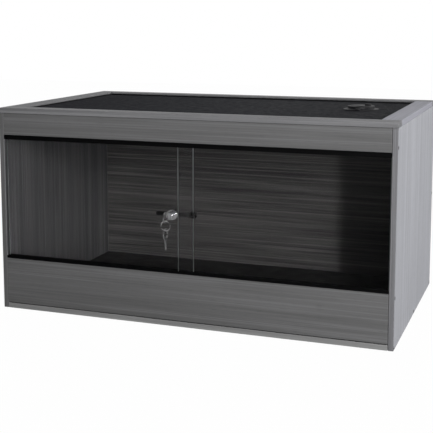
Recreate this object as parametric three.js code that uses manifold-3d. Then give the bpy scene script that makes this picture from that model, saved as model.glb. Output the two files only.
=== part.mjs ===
// Terrarium cabinet with two sliding glass doors, a showcase lock and a screened top.
// Millimetres. +X runs along the front to the right, -Y is the front, +Z is up.
// The origin is the centre of the underside.
import * as THREE from 'three';
import { mergeVertices } from 'three/addons/utils/BufferGeometryUtils.js';
import Module from 'manifold-3d';

const wasm = await Module();
wasm.setup();

// ---------------------------------------------------------------- driving dimensions

// carcass
const WIDTH = 914;
const DEPTH = 540;
const HEIGHT = 470;
const SIDE_BOARD = 12;
const BASE_BOARD = 12;
const BACK_BOARD = 12;
const FASCIA_BOARD = 12;
const TOP_BOARD = 12;
const SEAM = 0.3; // between faces that touch
const LOWER_FASCIA_HEIGHT = 105.5;
const UPPER_FASCIA_HEIGHT = 49.5;
const FASCIA_REVEAL = 1.5; // shadow gap under the lower fascia
const LINER_SHEET = 1.2;

// top frame and its screen
const SIDE_RAIL_WIDTH = 42;
const CROSS_RAIL_WIDTH = 40;
const RAIL_LIP = 6; // how far the screen lies below the top of the rails
const RABBET = 10; // how far the screen reaches under the rails
const SCREEN_SHEET = 0.8;
const SCREEN_GAPS_X = 20;
const SCREEN_GAPS_Y = 11;
const SCREEN_BAR = 2.2;
const BATTEN_HEIGHT = 4.2;

// sliding glass and its tracks
const GLASS = 4;
const GLASS_PLAY = 0.6; // each side of the glass in its channel
const TRACK_WALL = 1.5;
const TRACK_MIDDLE_WALL = 3;
const TRACK_WEB = 2;
const UPPER_TRACK_HEIGHT = 10;
const LOWER_TRACK_HEIGHT = 6;
const TRACK_ENGAGEMENT = 3.2; // how far a pane reaches into the upper channel
const PANE_OVERLAP = 33;
const PANE_END_GAP = 0.5;

// showcase lock
const LOCK_HEIGHT = 250;
const BAR_THICKNESS = 1.6;
const BAR_HEIGHT = 10;
const BAR_TAIL = 86; // from the hooked pane's edge to the free end
const BAR_TO_FRONT_PANE = 0.6;
const HOOK_HEIGHT = 13;
const HOOK_LENGTH = 15;
const HOOK_PLAY = 0.4; // between the hook and the back of the pane inside it
const HOOK_BEND = 5; // from the pane's edge to the inside of the bend, room for a soft sleeve
const TOOTH_PITCH = 4;
const TOOTH_WIDTH = 3;
const TOOTH_DEPTH = 1.4;
const TEETH_LEFT = 8;
const TEETH_RIGHT = 8;
const LOCK_RADIUS = 12;
const LOCK_FLANGE_LENGTH = 11.5;
const LOCK_NOSE_RADIUS = 8.5;
const LOCK_NOSE_LENGTH = 14;
const LOCK_CHAMFER = 1;
const LOCK_BACK_WALL = 1;
const SLIDING_FIT = 0.3;
const PLUG_RADIUS = 6;
const PLUG_LENGTH = 20;
const PLUG_PROUD = 0.5;
const PAWL_WIDTH = 6;
const PAWL_HEIGHT = 4.4;

// keys and ring
const BOW_RADIUS = 13;
const BOW_HOLE_RADIUS = 8;
const KEY_THICKNESS = 1.8;
const KEY_NECK = 6;
const KEY_NECK_WIDTH = 9;
const KEY_BLADE = 17;
const KEY_BLADE_WIDTH = 7;
const KEY_BIT_WIDTH = 2.8;
const KEY_BIT_DEPTH = 1.6;
const KEY_BITS = 3;
const RING_RADIUS = 10.8; // to the middle of the wire
const RING_WIRE_RADIUS = 0.8;

// cable port
const PORT_FROM_SIDE = 138; // from the cabinet's right side to the port's axis
const PORT_FROM_BACK = 230; // from its back
const PORT_FLANGE_RADIUS = 41;
const PORT_FLANGE = 2;
const PORT_RIM = 1; // thickness of the flange at its edge
const PORT_DRUM_RADIUS = 31;
const PORT_DRUM_HEIGHT = 8;
const PORT_BORE_RADIUS = 24;
const PORT_SPIGOT_RADIUS = 27;
const PORT_SPIGOT_LENGTH = 6;
const PORT_CLAMP_RADIUS = 38;
const PORT_CLAMP = 3;
const PORT_SHUTTER = 1.6;
const LID_RADIUS = 28;
const LID_THICKNESS = 3;
const LID_GRIP_LENGTH = 14;
const LID_GRIP_WIDTH = 7;
const LID_GRIP_HEIGHT = 4;
const WINDOW_EDGE = 3; // from the centre line to the straight edge of a half-moon hole
const TAB_LENGTH = 13;
const TAB_WIDTH = 11;
const TAB_ROOT = 2; // how far the tab runs into the drum

// fasteners
const SCREW_HEAD_RADIUS = 4;
const SCREW_HEAD_DEPTH = 3;
const SCREW_SHANK_RADIUS = 1.9;
const SCREW_LENGTH = 40;
const SCREW_POINT = 4;
const SCREW_SUNK = 0.2;
const HOLE_PLAY = 0.3;
const OVERCUT = 1; // how far a cutter runs past the face it opens
const SCREW_EDGE = 6; // from the front and back edges of a side panel
const UPPER_FASCIA_SCREW = 10; // above the lower edge of the upper fascia
const LOWER_FASCIA_SCREW = 9; // below the upper edge of the lower fascia
const BACK_TOP_SCREW = 8; // below the upper edge of the back panel
const BACK_MIDDLE_SCREW = 237;
const DOWEL_RADIUS = 3;
const DOWEL_IN_PANEL = 20;
const DOWEL_IN_RAIL = 8;
const DOWEL_FROM_EDGE = 90;
const CORNER_DOWEL_RADIUS = 2.5;
const CORNER_DOWEL_REACH = 14; // into each of the two rails
const CORNER_DOWEL_FROM_SIDE = 12;

// roundness
const ROUND_LARGE = 36;
const ROUND_SMALL = 12;
const ROUND_DOWEL = 12;
const WIRE_SIDES = 6;
const KEY_ROUND = 24;
const BAR_END_ROUND = 12;

// ---------------------------------------------------------------- places worked out from them

const FRONT = -DEPTH / 2;
const BACK = DEPTH / 2;
const OUTER_X = WIDTH / 2;
const INNER_X = OUTER_X - SIDE_BOARD;
const CARCASS_TOP = HEIGHT - TOP_BOARD;
const SPAN_X = INNER_X - SEAM; // half length of what fits between the side panels

const LOWER_FASCIA_FROM = BASE_BOARD + FASCIA_REVEAL;
const LOWER_FASCIA_TO = LOWER_FASCIA_FROM + LOWER_FASCIA_HEIGHT;
const UPPER_FASCIA_TO = CARCASS_TOP - SEAM;
const UPPER_FASCIA_FROM = UPPER_FASCIA_TO - UPPER_FASCIA_HEIGHT;
const BACK_PANEL_FRONT = BACK - BACK_BOARD;

const CHANNEL = GLASS + 2 * GLASS_PLAY;
const FRONT_PANE_Y = FRONT + TRACK_WALL + GLASS_PLAY;
const REAR_PANE_Y = FRONT + TRACK_WALL + CHANNEL + TRACK_MIDDLE_WALL + GLASS_PLAY;
const TRACK_DEPTH = 2 * TRACK_WALL + 2 * CHANNEL + TRACK_MIDDLE_WALL;
const UPPER_TRACK_TOP = UPPER_FASCIA_FROM - SEAM;
const UPPER_TRACK_LIPS = UPPER_TRACK_TOP - UPPER_TRACK_HEIGHT;
const LOWER_TRACK_FROM = LOWER_FASCIA_TO + SEAM;
const PANE_FROM = LOWER_TRACK_FROM + TRACK_WEB + SEAM;
const PANE_TO = UPPER_TRACK_LIPS + TRACK_ENGAGEMENT;
const PANE_OUTER_X = INNER_X - PANE_END_GAP;
const PANE_INNER_X = PANE_OVERLAP / 2;

const OPENING_X = OUTER_X - SIDE_RAIL_WIDTH;
const OPENING_Y = DEPTH / 2 - CROSS_RAIL_WIDTH;
const RECESS_X = OPENING_X + RABBET;
const RECESS_Y = OPENING_Y + RABBET;
const LEDGE = HEIGHT - RAIL_LIP;
const SCREEN_TOP = LEDGE - SEAM;
const SCREEN_UNDERSIDE = SCREEN_TOP - SCREEN_SHEET;
const BATTEN_TOP = SCREEN_UNDERSIDE - SEAM;

const BAR_FRONT = FRONT_PANE_Y + GLASS + BAR_TO_FRONT_PANE;
const BAR_BACK = BAR_FRONT + BAR_THICKNESS;
const HOOK_INSIDE = PANE_INNER_X + HOOK_BEND;
const HOOK_OUTSIDE = HOOK_INSIDE + BAR_THICKNESS;
const HOOK_RETURN = REAR_PANE_Y + GLASS + HOOK_PLAY;
const BAR_FREE_END = PANE_INNER_X - BAR_TAIL;
const LOCK_X = -PANE_INNER_X - PANE_END_GAP - LOCK_RADIUS;
const LOCK_SLOT_FRONT = BAR_FRONT - SLIDING_FIT;
const LOCK_SLOT_BACK = BAR_BACK + SLIDING_FIT;
const LOCK_REAR = LOCK_SLOT_BACK + LOCK_BACK_WALL;
const LOCK_STEP = LOCK_REAR - LOCK_FLANGE_LENGTH;
const LOCK_FACE = LOCK_STEP - LOCK_NOSE_LENGTH;
const PLUG_FACE = LOCK_FACE - PLUG_PROUD;
const PAWL_TIP = LOCK_HEIGHT - BAR_HEIGHT / 2 - SLIDING_FIT;
const PAWL_FOOT = PAWL_TIP - PAWL_HEIGHT;

const KEY_SHOULDER = PLUG_FACE - SEAM;
const BOW_Y = KEY_SHOULDER - KEY_NECK - BOW_RADIUS;
const RIM_MIDDLE = (BOW_RADIUS + BOW_HOLE_RADIUS) / 2;
const RIM_HALF_DIAGONAL = Math.hypot((BOW_RADIUS - BOW_HOLE_RADIUS) / 2, KEY_THICKNESS / 2);
const RIM_TO_WIRE = RIM_HALF_DIAGONAL + SLIDING_FIT + RING_WIRE_RADIUS;
const RING_Z = LOCK_HEIGHT - RIM_MIDDLE + RIM_TO_WIRE - RING_RADIUS;
const SPARE_BOW_Z = RING_Z - RING_RADIUS + RIM_TO_WIRE - RIM_MIDDLE;

const PORT_X = OUTER_X - PORT_FROM_SIDE;
const PORT_Y = BACK - PORT_FROM_BACK;
const PORT_FLANGE_FROM = SCREEN_TOP + SEAM;
const PORT_LEDGE = PORT_FLANGE_FROM + PORT_DRUM_HEIGHT - LID_THICKNESS - SEAM;
const CLAMP_TOP = SCREEN_UNDERSIDE - SEAM;

// Screw places seen on one side panel: distance along the depth and height.
const SCREWS = [
  { place: 'upper_fascia', y: FRONT + SCREW_EDGE, z: UPPER_FASCIA_FROM + UPPER_FASCIA_SCREW },
  { place: 'lower_fascia', y: FRONT + SCREW_EDGE, z: LOWER_FASCIA_TO - LOWER_FASCIA_SCREW },
  { place: 'base_front', y: FRONT + SCREW_EDGE, z: BASE_BOARD / 2 },
  { place: 'base_middle', y: 0, z: BASE_BOARD / 2 },
  { place: 'base_back', y: BACK - SCREW_EDGE, z: BASE_BOARD / 2 },
  { place: 'back_middle', y: BACK - SCREW_EDGE, z: BACK_MIDDLE_SCREW },
  { place: 'back_top', y: BACK - SCREW_EDGE, z: CARCASS_TOP - SEAM - BACK_TOP_SCREW },
];
const SIDES = [
  { name: 'left', sign: -1 },
  { name: 'right', sign: 1 },
];
const ENDS = [
  { name: 'front', sign: -1 },
  { name: 'back', sign: 1 },
];

// ---------------------------------------------------------------- solids

// A box between two corners.
function block(xFrom, xTo, yFrom, yTo, zFrom, zTo) {
  const box = new THREE.BoxGeometry(xTo - xFrom, yTo - yFrom, zTo - zFrom);
  return box.translate((xFrom + xTo) / 2, (yFrom + yTo) / 2, (zFrom + zTo) / 2);
}

// A box between the same two distances on the left or the right of the middle.
function sidedBlock(sign, xFrom, xTo, yFrom, yTo, zFrom, zTo) {
  const near = sign * xFrom;
  const far = sign * xTo;
  return block(Math.min(near, far), Math.max(near, far), yFrom, yTo, zFrom, zTo);
}

function toSolid(geometry) {
  const bare = geometry.clone();
  bare.deleteAttribute('normal');
  bare.deleteAttribute('uv');
  const merged = mergeVertices(bare, 1e-4);
  const corners = merged.index.array;
  const triangles = [];
  for (let i = 0; i < corners.length; i += 3) {
    const [a, b, c] = [corners[i], corners[i + 1], corners[i + 2]];
    if (a !== b && b !== c && c !== a) {
      triangles.push(a, b, c);
    }
  }
  return new wasm.Manifold(new wasm.Mesh({
    numProp: 3,
    vertProperties: new Float32Array(merged.attributes.position.array),
    triVerts: new Uint32Array(triangles),
  }));
}

function toGeometry(solid) {
  const mesh = solid.getMesh();
  const geometry = new THREE.BufferGeometry();
  geometry.setAttribute('position', new THREE.BufferAttribute(new Float32Array(mesh.vertProperties), 3));
  geometry.setIndex(new THREE.BufferAttribute(new Uint32Array(mesh.triVerts), 1));
  return geometry;
}

// The first geometry with the others cut away.
function cut(geometry, cutters) {
  return toGeometry(wasm.Manifold.difference([toSolid(geometry), ...cutters.map(toSolid)]));
}

function join(geometries) {
  return toGeometry(wasm.Manifold.union(geometries.map(toSolid)));
}

// A profile of [radius, height] pairs from low to high, turned about the +Y axis.
function turned(profile, segments) {
  const points = profile.map(([radius, height]) => new THREE.Vector2(radius, height));
  return toGeometry(toSolid(new THREE.LatheGeometry(points, segments)));
}

function cylinder(radius, from, to, segments) {
  return turned([[0, from], [radius, from], [radius, to], [0, to]], segments);
}

// Stands a turned shape up, so that its heights run along +Z.
function upright(geometry) {
  return geometry.rotateX(Math.PI / 2);
}

// Lays an extruded outline so that its x, y and depth run along three given directions.
function laid(geometry, xTo, yTo, depthTo) {
  const basis = new THREE.Matrix4().makeBasis(
    new THREE.Vector3(...xTo),
    new THREE.Vector3(...yTo),
    new THREE.Vector3(...depthTo),
  );
  return geometry.applyMatrix4(basis);
}

function outline(points) {
  return new THREE.Shape(points.map(([x, y]) => new THREE.Vector2(x, y)));
}

function extruded(shape, depth, curveSegments = ROUND_LARGE) {
  return new THREE.ExtrudeGeometry(shape, { depth, bevelEnabled: false, curveSegments });
}

// ---------------------------------------------------------------- fasteners

// A countersunk screw, or with play the hole for it; its head is at the top and its point down.
function screwProfile(play) {
  const mouth = play > 0 ? SCREW_SUNK + OVERCUT : 0;
  const head = SCREW_HEAD_RADIUS + play;
  const shank = SCREW_SHANK_RADIUS + play;
  return [
    [0, -SCREW_LENGTH - play],
    [shank, -SCREW_LENGTH + SCREW_POINT - play],
    [shank, -SCREW_HEAD_DEPTH],
    [head, 0],
    ...(play > 0 ? [[head, mouth]] : []),
    [0, mouth],
  ];
}

function screwGeometry(sign, place, play = 0) {
  const screw = turned(screwProfile(play), ROUND_SMALL);
  screw.rotateZ(-sign * Math.PI / 2);
  return screw.translate(sign * (OUTER_X - SCREW_SUNK), place.y, place.z);
}

// The holes that the screws of both sides make in a board between them.
function screwHoles(...names) {
  const places = SCREWS.filter((screw) => names.includes(screw.place));
  return SIDES.flatMap((side) => places.map((place) => screwGeometry(side.sign, place, HOLE_PLAY)));
}

// A dowel between the top of a side panel and the rail above it, or with play its hole.
function panelDowel(side, end, play = 0) {
  const middle = (OUTER_X + INNER_X) / 2;
  const peg = upright(cylinder(
    DOWEL_RADIUS + play,
    CARCASS_TOP - DOWEL_IN_PANEL - play,
    CARCASS_TOP + DOWEL_IN_RAIL + play,
    ROUND_DOWEL,
  ));
  return peg.translate(side.sign * middle, end.sign * (DEPTH / 2 - DOWEL_FROM_EDGE), 0);
}

// A dowel between a cross rail and the side rail that butts against it, or with play its hole.
function cornerDowel(side, end, play = 0) {
  const peg = cylinder(
    CORNER_DOWEL_RADIUS + play,
    -CORNER_DOWEL_REACH - play,
    CORNER_DOWEL_REACH + play,
    ROUND_DOWEL,
  );
  const x = side.sign * (OUTER_X - CORNER_DOWEL_FROM_SIDE);
  return peg.translate(x, end.sign * OPENING_Y, (CARCASS_TOP + HEIGHT) / 2);
}

// ---------------------------------------------------------------- carcass

function sidePanel(side) {
  const board = sidedBlock(side.sign, INNER_X, OUTER_X, FRONT, BACK, 0, CARCASS_TOP - SEAM);
  const holes = SCREWS.map((place) => screwGeometry(side.sign, place, HOLE_PLAY));
  const dowels = ENDS.map((end) => panelDowel(side, end, HOLE_PLAY));
  return cut(board, [...holes, ...dowels]);
}

function basePanel() {
  const board = block(-SPAN_X, SPAN_X, FRONT, BACK, 0, BASE_BOARD);
  return cut(board, screwHoles('base_front', 'base_middle', 'base_back'));
}

function backPanel() {
  const board = block(-SPAN_X, SPAN_X, BACK_PANEL_FRONT, BACK, BASE_BOARD + SEAM, CARCASS_TOP - SEAM);
  return cut(board, screwHoles('back_middle', 'back_top'));
}

function lowerFascia() {
  const to = FRONT + FASCIA_BOARD;
  const board = block(-SPAN_X, SPAN_X, FRONT, to, LOWER_FASCIA_FROM, LOWER_FASCIA_TO);
  return cut(board, screwHoles('lower_fascia'));
}

function upperFascia() {
  const to = FRONT + FASCIA_BOARD;
  const board = block(-SPAN_X, SPAN_X, FRONT, to, UPPER_FASCIA_FROM, UPPER_FASCIA_TO);
  return cut(board, screwHoles('upper_fascia'));
}

function floorLiner() {
  const from = FRONT + FASCIA_BOARD + SEAM;
  const top = BASE_BOARD + SEAM + LINER_SHEET;
  return block(-SPAN_X, SPAN_X, from, BACK_PANEL_FRONT - SEAM, BASE_BOARD + SEAM, top);
}

// ---------------------------------------------------------------- top frame

// The step under the rails that takes the screen and its battens.
function screenRecess() {
  return block(-RECESS_X, RECESS_X, -RECESS_Y, RECESS_Y, CARCASS_TOP - OVERCUT, LEDGE);
}

function sideRail(side) {
  const half = OPENING_Y - SEAM;
  const board = sidedBlock(side.sign, OPENING_X, OUTER_X, -half, half, CARCASS_TOP, HEIGHT);
  const dowels = ENDS.flatMap((end) => [panelDowel(side, end, HOLE_PLAY), cornerDowel(side, end, HOLE_PLAY)]);
  return cut(board, [screenRecess(), ...dowels]);
}

function crossRail(end) {
  const from = end.sign < 0 ? FRONT : OPENING_Y;
  const to = end.sign < 0 ? -OPENING_Y : BACK;
  const board = block(-OUTER_X, OUTER_X, from, to, CARCASS_TOP, HEIGHT);
  return cut(board, [screenRecess(), ...SIDES.map((side) => cornerDowel(side, end, HOLE_PLAY))]);
}

// The battens under the screen: two long ones, and two short ones between them.
function longBatten(end) {
  const half = RECESS_X - SEAM;
  const outer = end.sign * (RECESS_Y - SEAM);
  const inner = end.sign * OPENING_Y;
  const low = BATTEN_TOP - BATTEN_HEIGHT;
  return block(-half, half, Math.min(outer, inner), Math.max(outer, inner), low, BATTEN_TOP);
}

function shortBatten(side) {
  const half = OPENING_Y - SEAM;
  const low = BATTEN_TOP - BATTEN_HEIGHT;
  return sidedBlock(side.sign, OPENING_X, RECESS_X - SEAM, -half, half, low, BATTEN_TOP);
}

// A flat sheet with a grid of square gaps, and a round hole for the cable port.
function screenMesh() {
  const halfX = RECESS_X - SEAM;
  const halfY = RECESS_Y - SEAM;
  const sheet = block(-halfX, halfX, -halfY, halfY, SCREEN_UNDERSIDE, SCREEN_TOP);
  const gaps = [];
  const pitchX = (2 * OPENING_X) / SCREEN_GAPS_X;
  const pitchY = (2 * OPENING_Y) / SCREEN_GAPS_Y;
  for (let column = 0; column < SCREEN_GAPS_X; column += 1) {
    for (let row = 0; row < SCREEN_GAPS_Y; row += 1) {
      const left = -OPENING_X + column * pitchX + SCREEN_BAR / 2;
      const low = -OPENING_Y + row * pitchY + SCREEN_BAR / 2;
      const right = left + pitchX - SCREEN_BAR;
      const high = low + pitchY - SCREEN_BAR;
      gaps.push(block(left, right, low, high, CARCASS_TOP, HEIGHT));
    }
  }
  const hole = upright(cylinder(PORT_SPIGOT_RADIUS + SLIDING_FIT, CARCASS_TOP, HEIGHT, ROUND_LARGE));
  return cut(sheet, [...gaps, hole.translate(PORT_X, PORT_Y, 0)]);
}

// ---------------------------------------------------------------- glass and tracks

// A plastic section with two channels side by side; lipsUp is 1 or -1.
function trackGeometry(height, webFrom, lipsUp) {
  const channels = [TRACK_WALL, TRACK_WALL + CHANNEL + TRACK_MIDDLE_WALL];
  const points = [[0, 0], [TRACK_DEPTH, 0], [TRACK_DEPTH, height]];
  for (const channel of [...channels].reverse()) {
    points.push([channel + CHANNEL, height], [channel + CHANNEL, TRACK_WEB]);
    points.push([channel, TRACK_WEB], [channel, height]);
  }
  points.push([0, height]);
  const track = laid(extruded(outline(points), 2 * SPAN_X), [0, 1, 0], [0, 0, 1], [1, 0, 0]);
  track.translate(-SPAN_X, FRONT, 0);
  if (lipsUp < 0) {
    track.rotateX(Math.PI).translate(0, 2 * FRONT + TRACK_DEPTH, 0);
  }
  return track.translate(0, 0, webFrom);
}

function leftPane() {
  return block(-PANE_OUTER_X, PANE_INNER_X, REAR_PANE_Y, REAR_PANE_Y + GLASS, PANE_FROM, PANE_TO);
}

function rightPane() {
  return block(-PANE_INNER_X, PANE_OUTER_X, FRONT_PANE_Y, FRONT_PANE_Y + GLASS, PANE_FROM, PANE_TO);
}

// ---------------------------------------------------------------- lock

// The toothed bar, seen from the front, from its round free end to the hook.
function lockBar() {
  const half = BAR_HEIGHT / 2;
  const low = -half;
  const plate = new THREE.Shape();
  plate.moveTo(BAR_FREE_END + half, half);
  plate.absarc(BAR_FREE_END + half, 0, half, Math.PI / 2, 1.5 * Math.PI, false);
  for (let tooth = -TEETH_LEFT; tooth <= TEETH_RIGHT; tooth += 1) {
    const middle = LOCK_X + tooth * TOOTH_PITCH;
    plate.lineTo(middle - TOOTH_WIDTH / 2, low);
    plate.lineTo(middle, low + TOOTH_DEPTH);
    plate.lineTo(middle + TOOTH_WIDTH / 2, low);
  }
  const hookFrom = HOOK_OUTSIDE - HOOK_LENGTH;
  plate.lineTo(hookFrom, low);
  plate.lineTo(hookFrom, -HOOK_HEIGHT / 2);
  plate.lineTo(HOOK_OUTSIDE, -HOOK_HEIGHT / 2);
  plate.lineTo(HOOK_OUTSIDE, HOOK_HEIGHT / 2);
  plate.lineTo(hookFrom, HOOK_HEIGHT / 2);
  plate.lineTo(hookFrom, half);
  const bar = laid(extruded(plate, BAR_THICKNESS, BAR_END_ROUND), [1, 0, 0], [0, 0, 1], [0, -1, 0]);
  bar.translate(0, BAR_BACK, LOCK_HEIGHT);
  const hookLow = LOCK_HEIGHT - HOOK_HEIGHT / 2;
  const hookHigh = LOCK_HEIGHT + HOOK_HEIGHT / 2;
  const returnTo = HOOK_RETURN + BAR_THICKNESS;
  const leg = block(HOOK_INSIDE, HOOK_OUTSIDE, BAR_FRONT, returnTo, hookLow, hookHigh);
  const tongue = block(hookFrom, HOOK_OUTSIDE, HOOK_RETURN, returnTo, hookLow, hookHigh);
  return join([bar, leg, tongue]);
}

// Moves a turned shape to the lock's axis; its heights are places along the depth.
function alongLock(geometry) {
  return geometry.translate(LOCK_X, 0, LOCK_HEIGHT);
}

function lockBody() {
  const body = alongLock(turned([
    [0, LOCK_FACE],
    [LOCK_NOSE_RADIUS - LOCK_CHAMFER, LOCK_FACE],
    [LOCK_NOSE_RADIUS, LOCK_FACE + LOCK_CHAMFER],
    [LOCK_NOSE_RADIUS, LOCK_STEP],
    [LOCK_RADIUS - LOCK_CHAMFER, LOCK_STEP],
    [LOCK_RADIUS, LOCK_STEP + LOCK_CHAMFER],
    [LOCK_RADIUS, LOCK_REAR],
    [0, LOCK_REAR],
  ], ROUND_LARGE));
  const slotHalf = BAR_HEIGHT / 2 + SLIDING_FIT;
  const slot = block(
    LOCK_X - 2 * LOCK_RADIUS,
    LOCK_X + 2 * LOCK_RADIUS,
    LOCK_SLOT_FRONT,
    LOCK_SLOT_BACK,
    LOCK_HEIGHT - slotHalf,
    LOCK_HEIGHT + slotHalf,
  );
  const pocketHalf = PAWL_WIDTH / 2 + SLIDING_FIT;
  const pocket = block(
    LOCK_X - pocketHalf,
    LOCK_X + pocketHalf,
    LOCK_SLOT_FRONT,
    LOCK_SLOT_BACK,
    PAWL_FOOT - SLIDING_FIT,
    LOCK_HEIGHT,
  );
  const boreBack = PLUG_FACE + PLUG_LENGTH + SLIDING_FIT;
  const bore = alongLock(cylinder(PLUG_RADIUS + SLIDING_FIT, PLUG_FACE - OVERCUT, boreBack, ROUND_LARGE));
  return cut(body, [slot, pocket, bore]);
}

function lockPlug() {
  const plugBack = PLUG_FACE + PLUG_LENGTH;
  const plug = alongLock(cylinder(PLUG_RADIUS, PLUG_FACE, plugBack, ROUND_LARGE));
  const wide = KEY_THICKNESS / 2 + SLIDING_FIT;
  const tall = KEY_BLADE_WIDTH / 2 + SLIDING_FIT;
  const deep = KEY_SHOULDER + KEY_BLADE + SLIDING_FIT;
  const keyway = block(
    LOCK_X - wide,
    LOCK_X + wide,
    PLUG_FACE - OVERCUT,
    deep,
    LOCK_HEIGHT - tall,
    LOCK_HEIGHT + tall,
  );
  return cut(plug, [keyway]);
}

// The pawl under the bar, with a tip that fits the gap between two teeth.
function lockPawl() {
  const half = PAWL_WIDTH / 2;
  const tip = TOOTH_WIDTH / 2 - SLIDING_FIT;
  const shoulder = PAWL_TIP - TOOTH_DEPTH;
  const face = outline([
    [-half, PAWL_FOOT],
    [half, PAWL_FOOT],
    [half, shoulder],
    [tip, shoulder],
    [0, PAWL_TIP],
    [-tip, shoulder],
    [-half, shoulder],
  ]);
  const pawl = laid(extruded(face, BAR_THICKNESS), [1, 0, 0], [0, 0, 1], [0, -1, 0]);
  return pawl.translate(LOCK_X, BAR_BACK, 0);
}

// ---------------------------------------------------------------- keys and ring

// A flat key: a round bow with a large hole at the origin, its blade along +x with three bits cut.
function keyGeometry() {
  const neckHalf = KEY_NECK_WIDTH / 2;
  const bladeHalf = KEY_BLADE_WIDTH / 2;
  const shoulder = BOW_RADIUS + KEY_NECK;
  const tip = shoulder + KEY_BLADE;
  const neckAngle = Math.asin(neckHalf / BOW_RADIUS);
  const face = new THREE.Shape();
  face.absarc(0, 0, BOW_RADIUS, neckAngle, 2 * Math.PI - neckAngle, false);
  face.lineTo(shoulder, -neckHalf);
  face.lineTo(shoulder, -bladeHalf);
  for (let bit = 1; bit <= KEY_BITS; bit += 1) {
    const middle = shoulder + (bit * KEY_BLADE) / (KEY_BITS + 1);
    face.lineTo(middle - KEY_BIT_WIDTH / 2, -bladeHalf);
    face.lineTo(middle, -bladeHalf + KEY_BIT_DEPTH);
    face.lineTo(middle + KEY_BIT_WIDTH / 2, -bladeHalf);
  }
  face.lineTo(tip - bladeHalf / 2, -bladeHalf);
  face.lineTo(tip, 0);
  face.lineTo(tip - bladeHalf / 2, bladeHalf);
  face.lineTo(shoulder, bladeHalf);
  face.lineTo(shoulder, neckHalf);
  const hole = new THREE.Path();
  hole.absarc(0, 0, BOW_HOLE_RADIUS, 0, 2 * Math.PI, true);
  face.holes.push(hole);
  return extruded(face, KEY_THICKNESS, KEY_ROUND).translate(0, 0, -KEY_THICKNESS / 2);
}

function insertedKey() {
  return laid(keyGeometry(), [0, 1, 0], [0, 0, 1], [1, 0, 0]).translate(LOCK_X, BOW_Y, LOCK_HEIGHT);
}

function spareKey() {
  return laid(keyGeometry(), [0, 0, -1], [0, 1, 0], [1, 0, 0]).translate(LOCK_X, BOW_Y, SPARE_BOW_Z);
}

function keyRing() {
  const ring = new THREE.TorusGeometry(RING_RADIUS, RING_WIRE_RADIUS, WIRE_SIDES, ROUND_LARGE);
  return ring.rotateX(Math.PI / 2).translate(LOCK_X, BOW_Y, RING_Z);
}

// ---------------------------------------------------------------- cable port

// Half of a round plate, on the side that sign names, kept clear of the centre line.
function halfMoon(radius, from, to, sign) {
  const disc = upright(cylinder(radius, from, to, ROUND_LARGE));
  const keepOff = block(
    -2 * radius,
    2 * radius,
    sign > 0 ? -2 * radius : -WINDOW_EDGE,
    sign > 0 ? WINDOW_EDGE : 2 * radius,
    from - OVERCUT,
    to + OVERCUT,
  );
  return cut(disc, [keepOff]);
}

function portBase() {
  const from = PORT_FLANGE_FROM;
  const spigotFrom = from - PORT_SPIGOT_LENGTH;
  const top = from + PORT_DRUM_HEIGHT;
  const shell = upright(turned([
    [0, spigotFrom],
    [PORT_SPIGOT_RADIUS, spigotFrom],
    [PORT_SPIGOT_RADIUS, from],
    [PORT_FLANGE_RADIUS, from],
    [PORT_FLANGE_RADIUS, from + PORT_RIM],
    [PORT_DRUM_RADIUS, from + PORT_FLANGE],
    [PORT_DRUM_RADIUS, top],
    [0, top],
  ], ROUND_LARGE));
  const tab = block(
    -TAB_WIDTH / 2,
    TAB_WIDTH / 2,
    -PORT_DRUM_RADIUS - TAB_LENGTH,
    -PORT_DRUM_RADIUS + TAB_ROOT,
    from + PORT_FLANGE / 2,
    from + PORT_DRUM_HEIGHT / 2,
  );
  const shutterFrom = PORT_LEDGE - PORT_SHUTTER;
  const bore = upright(cylinder(PORT_BORE_RADIUS, spigotFrom - OVERCUT, shutterFrom, ROUND_LARGE));
  const window = halfMoon(PORT_BORE_RADIUS, shutterFrom - OVERCUT, PORT_LEDGE + OVERCUT, 1);
  const seat = upright(cylinder(LID_RADIUS + SLIDING_FIT, PORT_LEDGE, top + OVERCUT, ROUND_LARGE));
  return cut(join([shell, tab]), [bore, window, seat]).translate(PORT_X, PORT_Y, 0);
}

function portClamp() {
  const low = CLAMP_TOP - PORT_CLAMP;
  const disc = upright(cylinder(PORT_CLAMP_RADIUS, low, CLAMP_TOP, ROUND_LARGE));
  const inner = PORT_SPIGOT_RADIUS + SLIDING_FIT;
  const hole = upright(cylinder(inner, low - OVERCUT, CLAMP_TOP + OVERCUT, ROUND_LARGE));
  return cut(disc, [hole]).translate(PORT_X, PORT_Y, 0);
}

// The turning lid: its half-moon hole faces the front while the port is closed.
function portLid() {
  const from = PORT_LEDGE + SEAM;
  const to = from + LID_THICKNESS;
  const disc = upright(cylinder(LID_RADIUS, from, to, ROUND_LARGE));
  const window = halfMoon(PORT_BORE_RADIUS, from - OVERCUT, to + OVERCUT, -1);
  const gripFrom = (LID_RADIUS - LID_GRIP_LENGTH) / 2;
  const grip = block(
    gripFrom,
    gripFrom + LID_GRIP_LENGTH,
    LID_GRIP_WIDTH,
    2 * LID_GRIP_WIDTH,
    to - OVERCUT,
    to + LID_GRIP_HEIGHT,
  );
  return join([cut(disc, [window]), grip]).translate(PORT_X, PORT_Y, 0);
}

// ---------------------------------------------------------------- finishes

function finish(color, roughness, metalness = 0, opacity = 1) {
  return { color, roughness, metalness, transparent: opacity < 1, opacity };
}

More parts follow.
